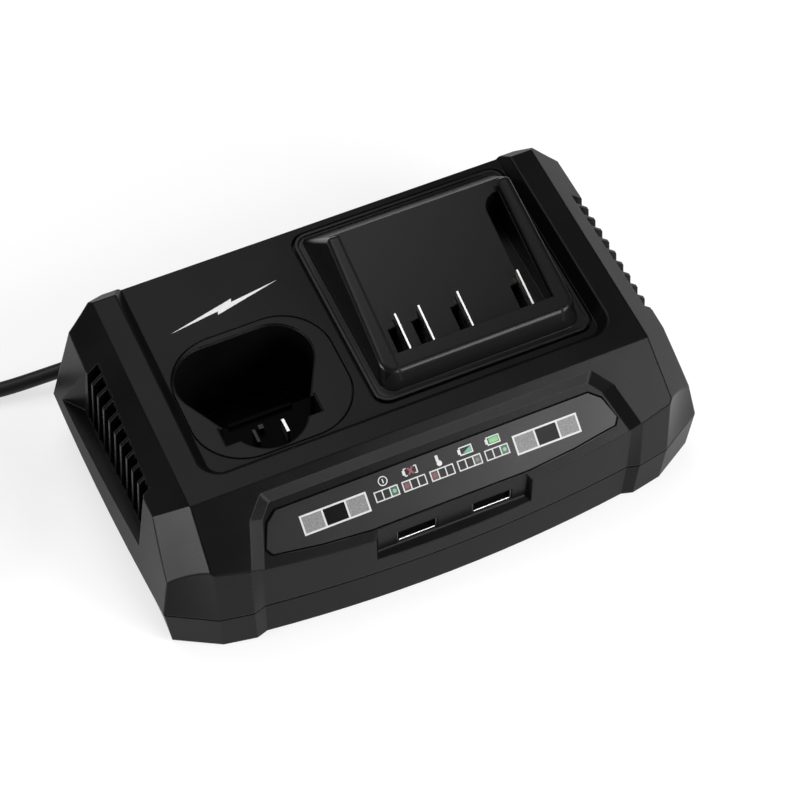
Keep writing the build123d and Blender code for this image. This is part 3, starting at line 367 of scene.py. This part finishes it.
NODE_MATERIALS = {
    "upper_shell": "shell",
    "lower_shell": "tray",
    "slide_dock": "dock",
    "slide_blades": "contact",
    "slide_terminal_block": "terminal",
    "socket_cup": "socket",
    "socket_blades": "socket_blade",
    "socket_terminal_block": "terminal",
    "indicator_overlay": "film",
    "indicator_window_left": "window",
    "indicator_window_right": "window",
    "light_guides": "acrylic",
    "status_leds": "led",
    "display_board": "board",
    "usb_board": "board",
    "usb_shell_left": "shell_steel",
    "usb_shell_right": "shell_steel",
    # Painted shade: the outlet tongues take the black terminal plastic for the shadow inside their
    # outlets.
    "usb_tongue_left": "terminal",
    "usb_tongue_right": "terminal",
    "main_board": "board",
    "transformer_carrier": "epoxy",
    "transformer_core": "ferrite",
    "transformer_winding": "tape",
    "bulk_capacitor": "sleeve",
    "output_capacitors": "sleeve",
    "line_choke": "copper",
    "line_fuse": "ceramic",
    "heat_sink": "aluminium",
    "power_transistors": "epoxy",
    "case_screws": "zinc",
    "board_screws": "zinc",
    "rubber_feet": "rubber",
    "cord_gland": "cord",
    "mains_cord": "cord",
    "cord_coil": "cord",
    "cord_tie": "cord",
    "mains_plug": "cord",
    "plug_pins": "nickel",
}


def dress(piece, key):
    """Gives a CAD node one material on all its faces."""
    piece.data.materials.clear()
    piece.data.materials.append(MATERIALS[key])


for node_name, key in NODE_MATERIALS.items():
    dress(nodes[node_name], key)

# ---------------------------------------------------------------- mains cord
# The route is in millimetres.
CORD_D = 5.0
CORD_ROUTE = [
    (-82.0, 64.6, 7.4),
    (-93.0, 65.652, 6.061),
    (-105.0, 67.6, 3.8),
    (-119.0, 70.4, 2.5),
    (-133.5, 71.8, 2.5),
    (-148.0, 71.2, 2.5),
]
COIL_MID = (-168.87, 31.3)
COIL_OUTER = 39.0         # radius of the outer turn's centre line
COIL_START = 92.4         # angle where the cord runs into the turns, in degrees
INWARD_TURNS = 4.0
CHANGE_TURNS = 1.0        # the inner turn climbs to the second layer
OUTWARD_TURNS = 4.0 + (180.0 - COIL_START) / 360.0
POINTS_PER_TURN = 24
PLUG_RUN = ((-0.9, -8.0, 7.4), (-0.3, -15.0, 7.1))  # x from the plug, y from the coil's middle, z


def coil_route():
    """Turns that spiral in on the table and out again on top of themselves."""
    turns = INWARD_TURNS + CHANGE_TURNS + OUTWARD_TURNS
    steps = round(turns * POINTS_PER_TURN)
    outset = 1.0 / math.cos(math.pi / POINTS_PER_TURN)
    points = []
    for i in range(steps + 1):
        turn = turns * i / steps
        inward = min(turn, INWARD_TURNS)
        climb = min(max(turn - INWARD_TURNS, 0.0), CHANGE_TURNS) / CHANGE_TURNS
        outward = max(turn - INWARD_TURNS - CHANGE_TURNS, 0.0)
        radius = (COIL_OUTER - CORD_D * (inward - outward)) * outset
        angle = math.radians(COIL_START + 360.0 * turn)
        x = COIL_MID[0] + radius * math.cos(angle)
        y = COIL_MID[1] + radius * math.sin(angle)
        points.append((x, y, CORD_D * (0.5 + climb)))
    return points


def plug_route():
    """The last stretch, from the coil to the plug."""
    low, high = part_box("mains_plug")
    x = (low.x + high.x) / 2 / MM
    z = (low.z + high.z) / 2 / MM
    run = [(x + beside, COIL_MID[1] + behind, height) for beside, behind, height in PLUG_RUN]
    return [*run, (x, high.y / MM, z)]


def add_cord():
    """The mains cord and its put-away coil, as one smooth curve."""
    route = CORD_ROUTE + coil_route() + plug_route()
    curve = bpy.data.curves.new("cord", "CURVE")
    curve.dimensions = "3D"
    curve.resolution_u = 6
    curve.bevel_depth = CORD_D / 2 * MM
    curve.bevel_resolution = 5
    curve.use_fill_caps = True
    spline = curve.splines.new("NURBS")
    spline.points.add(len(route) - 1)
    for point, place in zip(spline.points, route):
        point.co = (*metres(*place), 1.0)
    spline.order_u = 3
    spline.use_endpoint_u = True
    cord = bpy.data.objects.new("cord", curve)
    bpy.context.collection.objects.link(cord)
    curve.materials.append(MATERIALS["cord"])
    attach(cord, "root")
    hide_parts("mains_cord", "cord_coil")


add_cord()

# ---------------------------------------------------------------- outlet lips
LIP_R = 0.20              # radius of the lip's roll, in millimetres
LIP_WIDTH = 0.9           # share of the outlet's width
LIP_BEHIND = 0.05         # millimetres behind the outlet's face
LIP_ABOVE = 0.75          # millimetres above the lowest point of its shell


def add_outlet_lip(side):
    """The bright rolled lower lip of an outlet's steel shell."""
    low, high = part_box("usb_shell_" + side)
    width = (high.x - low.x) * LIP_WIDTH
    bpy.ops.mesh.primitive_cylinder_add(vertices=16, radius=LIP_R * MM, depth=width)
    lip = bpy.context.active_object
    lip.name = "outlet_lip_" + side
    lip.rotation_euler = (0.0, math.pi / 2, 0.0)
    lip.location = ((low.x + high.x) / 2, low.y + LIP_BEHIND * MM, low.z + LIP_ABOVE * MM)
    lip.data.materials.append(MATERIALS["lip"])
    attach(lip, "root")


add_outlet_lip("left")
add_outlet_lip("right")

# ---------------------------------------------------------------- the printed panel
# All in millimetres. On the front slope, u runs across and v runs up from its upper fold.
FOLD = (-31.4, 55.1)       # y and z of that fold
SLOPE_LOW = (-52.0, 39.6)  # y and z of a point low on the slope
SLOPE_ANGLE = math.atan2(FOLD[1] - SLOPE_LOW[1], FOLD[0] - SLOPE_LOW[0])
FILM_TOP = -1.0            # top of the film, measured out of the slope
INK = 0.04                 # thickness of the ink
DECK_TOP = 51.1

FILM_EDGE = ((57.0, -22.4), (58.4, -20.2), (55.6, -12.4), (52.0, -9.5))
FILM_LOW = ((42.0, -24.6), (26.6, -25.9))
FILM_MIDDLE_V = -17.5
BORDER_LINE = 0.45

BAR_U = (-34.9, 35.1)      # charge-level bars
BAR_V = -17.2
BAR_SIZE = (21.6, 6.2)
BAR_LINE = 0.55
BAR_DIVIDERS = (-3.6, 3.9)

GROUP_U = (-18.0, -8.9, 0.3, 9.4, 18.5)  # groups of three small boxes
GROUP_V = -17.0
GROUP_SIZE = (7.8, 3.3)
GROUP_LINE = 0.34
BOX_PITCH = 2.49
LAMP_R = 0.6
# Each lamp's group, its box there (1 is right and -1 left of the middle one) and its tone.
LAMPS = ((0, 1, "green"), (1, -1, "red"), (2, -1, "red"), (3, 1, "dim"), (4, 1, "green"))

ICON_V = -13.0             # pictograms: strokes are (u, v, width, height) from an icon's middle
POWER_RING = (1.35, 0.32)  # radius and line
POWER_STROKES = ((0.0, 0.0, 0.36, 1.3),)
FAULT_STROKES = (
    (-2.0, 0.0, 0.4, 2.4),
    (2.0, 0.0, 0.4, 2.4),
    (-1.6, -1.1, 0.7, 0.36),
    (-1.6, 1.1, 0.7, 0.36),
    (1.6, -1.1, 0.7, 0.36),
    (1.6, 1.1, 0.7, 0.36),
    (-2.4, 0.0, 0.5, 1.4),
)
FAULT_SLASH = ((-1.15, -1.1), (-0.45, -1.1), (1.15, 1.1), (0.45, 1.1))
HEAT_STROKES = ((-0.3, 0.6, 0.9, 2.0),)
HEAT_BULB = (-1.0, 0.85)   # v and radius
BATTERY_SIZE = (4.3, 2.6)
BATTERY_LINE = 0.36
BATTERY_STROKES = ((-2.4, 0.0, 0.5, 1.5),)
CHARGING_WEDGE = ((-1.3, -0.8), (1.7, -0.8), (1.7, 0.8))
FULL_STROKES = ((0.1, 0.0, 3.0, 1.5),)

BOLT_MIDDLE = (-37.8, 35.3)
BOLT_HALF = ((-18.9, -3.0), (3.0, 2.1), (2.5, 0.8))  # the other half is this one turned round


def on_panel(u, v, lift):
    """A point on the front slope: across it, up it and out of it."""
    up = Vector((0.0, math.cos(SLOPE_ANGLE), math.sin(SLOPE_ANGLE)))
    out = Vector((0.0, -math.sin(SLOPE_ANGLE), math.cos(SLOPE_ANGLE)))
    return (Vector((u, *FOLD)) + up * v + out * lift) * MM


def on_deck(u, v, lift):
    """A point on the deck."""
    return metres(u, v, DECK_TOP + lift)


def print_shapes(name, outlines, key, place=on_panel, base=FILM_TOP):
    """One thin printed piece made of flat outlines, each as thick as the ink."""
    mesh = bpy.data.meshes.new(name)
    work = bmesh.new()
    for outline in outlines:
        lower = [work.verts.new(place(u, v, base)) for u, v in outline]
        upper = [work.verts.new(place(u, v, base + INK)) for u, v in outline]
        work.faces.new(upper)
        work.faces.new(list(reversed(lower)))
        count = len(outline)
        for i in range(count):
            j = (i + 1) % count
            work.faces.new((lower[i], lower[j], upper[j], upper[i]))
    bmesh.ops.recalc_face_normals(work, faces=work.faces)
    work.to_mesh(mesh)
    work.free()
    piece = bpy.data.objects.new(name, mesh)
    bpy.context.collection.objects.link(piece)
    mesh.materials.append(MATERIALS[key])
    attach(piece, "root")


def rectangle(u, v, width, height):
    """The corners of a rectangle around a middle."""
    half_w = width / 2
    half_h = height / 2
    return [
        (u - half_w, v - half_h),
        (u + half_w, v - half_h),
        (u + half_w, v + half_h),
        (u - half_w, v + half_h),
    ]


def frame_of(u, v, width, height, line):
    """The four strips of a rectangle's outline."""
    inner_h = height - 2 * line
    return [
        rectangle(u, v + (height - line) / 2, width, line),
        rectangle(u, v - (height - line) / 2, width, line),
        rectangle(u - (width - line) / 2, v, line, inner_h),
        rectangle(u + (width - line) / 2, v, line, inner_h),
    ]


def on_circle(u, v, radius, share):
    """A point on a circle, at a share of the way round."""
    angle = 2 * math.pi * share
    return (u + radius * math.cos(angle), v + radius * math.sin(angle))


def disc(u, v, radius, count=20):
    """The outline of a round spot."""
    return [on_circle(u, v, radius, i / count) for i in range(count)]


def ring(u, v, radius, line, count=24):
    """A circle's line of even width, as short flat pieces."""
    inner = radius - line / 2
    outer = radius + line / 2
    return [
        [
            on_circle(u, v, inner, i / count),
            on_circle(u, v, outer, i / count),
            on_circle(u, v, outer, (i + 1) / count),
            on_circle(u, v, inner, (i + 1) / count),
        ]
        for i in range(count)
    ]


def draw_film_edge_line():
    """The dark edge of the film, as a thin line just inside its outline."""
    right = [*reversed(FILM_LOW), *FILM_EDGE]
    outline = right + [(-u, v) for u, v in reversed(right)]
    inner = [
        (u - math.copysign(BORDER_LINE, u), v - math.copysign(BORDER_LINE, v - FILM_MIDDLE_V))
        for u, v in outline
    ]
    strips = []
    for i, corner in enumerate(outline):
        j = (i + 1) % len(outline)
        strips.append([corner, outline[j], inner[j], inner[i]])
    print_shapes("film_border", strips, "film_edge_black")


def print_bars():
    """Charge-level bars: three fields in a white frame, the outer two silver."""
    width, height = BAR_SIZE
    inner_h = height - 2 * BAR_LINE
    for side, u in zip(("left", "right"), BAR_U):
        strips = frame_of(u, BAR_V, width, height, BAR_LINE)
        strips += [rectangle(u + x, BAR_V, BAR_LINE, inner_h) for x in BAR_DIVIDERS]
        print_shapes("bar_frame_" + side, strips, "white_ink")
        fields = []
        for x, end in zip(BAR_DIVIDERS, (-1, 1)):
            near = x + end * BAR_LINE / 2
            far = end * (width / 2 - BAR_LINE)
            fields.append(rectangle(u + (near + far) / 2, BAR_V, abs(far - near), inner_h))
        print_shapes("bar_fields_" + side, fields, "silver")


def print_groups():
    """Five groups of three small boxes, each with one tinted box and its lamp."""
    width, height = GROUP_SIZE
    inner_h = height - 2 * GROUP_LINE
    lines = []
    for u in GROUP_U:
        lines += frame_of(u, GROUP_V, width, height, GROUP_LINE)
        for step in (-0.5, 0.5):
            lines.append(rectangle(u + step * BOX_PITCH, GROUP_V, GROUP_LINE, inner_h))
    print_shapes("group_frames", lines, "white_ink")
    for index, step, tone in LAMPS:
        u = GROUP_U[index] + step * BOX_PITCH
        field = rectangle(u, GROUP_V, BOX_PITCH - GROUP_LINE, inner_h)
        print_shapes(f"lamp_field_{index + 1}", [field], "field_" + tone)
        lamp = disc(u, GROUP_V, LAMP_R)
        print_shapes(f"lamp_{index + 1}", [lamp], "lamp_" + tone, base=FILM_TOP + INK)


def strokes(icon, rows):
    """An icon's straight strokes."""
    return [rectangle(icon + u, ICON_V + v, width, height) for u, v, width, height in rows]


def battery(icon):
    """A battery pictogram: a frame with a terminal on its left."""
    return frame_of(icon, ICON_V, *BATTERY_SIZE, BATTERY_LINE) + strokes(icon, BATTERY_STROKES)


def print_icons():
    """A pictogram above each group: power, fault, temperature, charging and full."""
    power, fault, heat, charging, full = GROUP_U
    circle = ring(power, ICON_V, *POWER_RING)
    print_shapes("icon_power", circle + strokes(power, POWER_STROKES), "white_ink")
    print_shapes("icon_fault", strokes(fault, FAULT_STROKES), "white_ink")
    for i, flip in enumerate((1, -1)):
        slash = [(fault + u * flip, ICON_V + v) for u, v in FAULT_SLASH]
        print_shapes(f"icon_fault_bar_{i + 1}", [slash], "red_ink", base=FILM_TOP + INK * i)
    print_shapes("icon_heat", strokes(heat, HEAT_STROKES), "white_ink")
    bulb = disc(heat, ICON_V + HEAT_BULB[0], HEAT_BULB[1])
    print_shapes("icon_heat_bulb", [bulb], "white_ink", base=FILM_TOP + INK)
    print_shapes("icon_charging", battery(charging), "white_ink")
    wedge = [(charging + u, ICON_V + v) for u, v in CHARGING_WEDGE]
    print_shapes("icon_charging_level", [wedge], "green_ink")
    print_shapes("icon_full", battery(full), "white_ink")
    print_shapes("icon_full_level", strokes(full, FULL_STROKES), "bright_green_ink")


def print_bolt():
    """A plain lightning bolt on the deck, behind the stick socket."""
    u, v = BOLT_MIDDLE
    bolt = [(u + side * x, v + side * y) for side in (1, -1) for x, y in BOLT_HALF]
    print_shapes("deck_flash", [bolt], "bolt_ink", place=on_deck, base=0.0)


draw_film_edge_line()
print_bars()
print_groups()
print_icons()
print_bolt()

# ---------------------------------------------------------------- stage and lights
FLOOR_HALF = 6.0          # half of the floor's side, in metres
FLOOR_PAPER = (0.34, 0.34, 0.34, 1.0)
FLOOR_LIFT = 0.65         # added for the camera, reflections and glass, so that lit paper is white
LAMP_AIM = (0.0, 0.0, 40.0)  # the point that the soft boxes point at, in millimetres
WORLD_HORIZON = 0.10      # strength of the surroundings level with the floor, and overhead
WORLD_ZENITH = 0.42
# Name, direction, distance, size and radiance of each soft box; lengths in metres.
SOFTBOXES = (
    ("top", (-0.10, 0.40, 0.91), 1.0, (0.80, 0.80), 2.6),
    ("left", (-0.99, -0.03, 0.10), 0.9, (0.35, 0.40), 19.0),
    ("right", (0.505, -0.670, 0.545), 0.9, (0.38, 0.44), 12.0),
    ("front", (0.24, -0.93, 0.25), 0.9, (0.34, 0.36), 13.0),
)


def add_floor():
    """Grey paper under the lamps, with a lift that makes it white to the camera."""
    mesh = bpy.data.meshes.new("floor")
    corners = [(FLOOR_HALF * x, FLOOR_HALF * y, 0) for x, y in ((-1, -1), (1, -1), (1, 1), (-1, 1))]
    mesh.from_pydata(corners, [], [(0, 1, 2, 3)])
    floor = bpy.data.objects.new("floor", mesh)
    bpy.context.collection.objects.link(floor)
    material = bpy.data.materials.new("floor_paper")
    material.use_nodes = True
    tree = material.node_tree
    tree.nodes.clear()
    paper = tree.nodes.new("ShaderNodeBsdfDiffuse")
    paper.inputs["Color"].default_value = FLOOR_PAPER
    path = tree.nodes.new("ShaderNodeLightPath")
    seen = calculate(tree, "MAXIMUM", path.outputs["Is Camera Ray"], path.outputs["Is Glossy Ray"])
    seen = calculate(tree, "MAXIMUM", seen, path.outputs["Is Transmission Ray"])
    glow = tree.nodes.new("ShaderNodeEmission")
    tree.links.new(calculate(tree, "MULTIPLY", seen, FLOOR_LIFT), glow.inputs["Strength"])
    both = tree.nodes.new("ShaderNodeAddShader")
    output = tree.nodes.new("ShaderNodeOutputMaterial")
    tree.links.new(paper.outputs["BSDF"], both.inputs[0])
    tree.links.new(glow.outputs["Emission"], both.inputs[1])
    tree.links.new(both.outputs["Shader"], output.inputs["Surface"])
    mesh.materials.append(material)


def add_softbox(name, direction, distance, size, radiance):
    """A rectangular soft box that points at the charger from a direction."""
    light = bpy.data.lights.new(name, "AREA")
    light.shape = "RECTANGLE"
    light.size, light.size_y = size
    light.energy = radiance * math.pi * size[0] * size[1]
    lamp = bpy.data.objects.new(name, light)
    bpy.context.collection.objects.link(lamp)
    away = Vector(direction).normalized()
    lamp.location = away * distance + metres(*LAMP_AIM)
    lamp.rotation_euler = away.to_track_quat("Z", "Y").to_euler()


def set_world():
    """Even studio light, weaker towards the horizon."""
    world = bpy.data.worlds.new("studio")
    bpy.context.scene.world = world
    world.use_nodes = True
    tree = world.node_tree
    tree.nodes.clear()
    coordinates = tree.nodes.new("ShaderNodeTexCoord")
    parts = tree.nodes.new("ShaderNodeSeparateXYZ")
    height = tree.nodes.new("ShaderNodeMapRange")
    height.inputs["To Min"].default_value = WORLD_HORIZON
    height.inputs["To Max"].default_value = WORLD_ZENITH
    light = tree.nodes.new("ShaderNodeBackground")
    output = tree.nodes.new("ShaderNodeOutputWorld")
    tree.links.new(coordinates.outputs["Generated"], parts.inputs["Vector"])
    tree.links.new(parts.outputs["Z"], height.inputs["Value"])
    tree.links.new(height.outputs["Result"], light.inputs["Strength"])
    tree.links.new(light.outputs["Background"], output.inputs["Surface"])


add_floor()
set_world()
for softbox in SOFTBOXES:
    add_softbox(*softbox)

bpy.context.scene.view_settings.view_transform = "Standard"
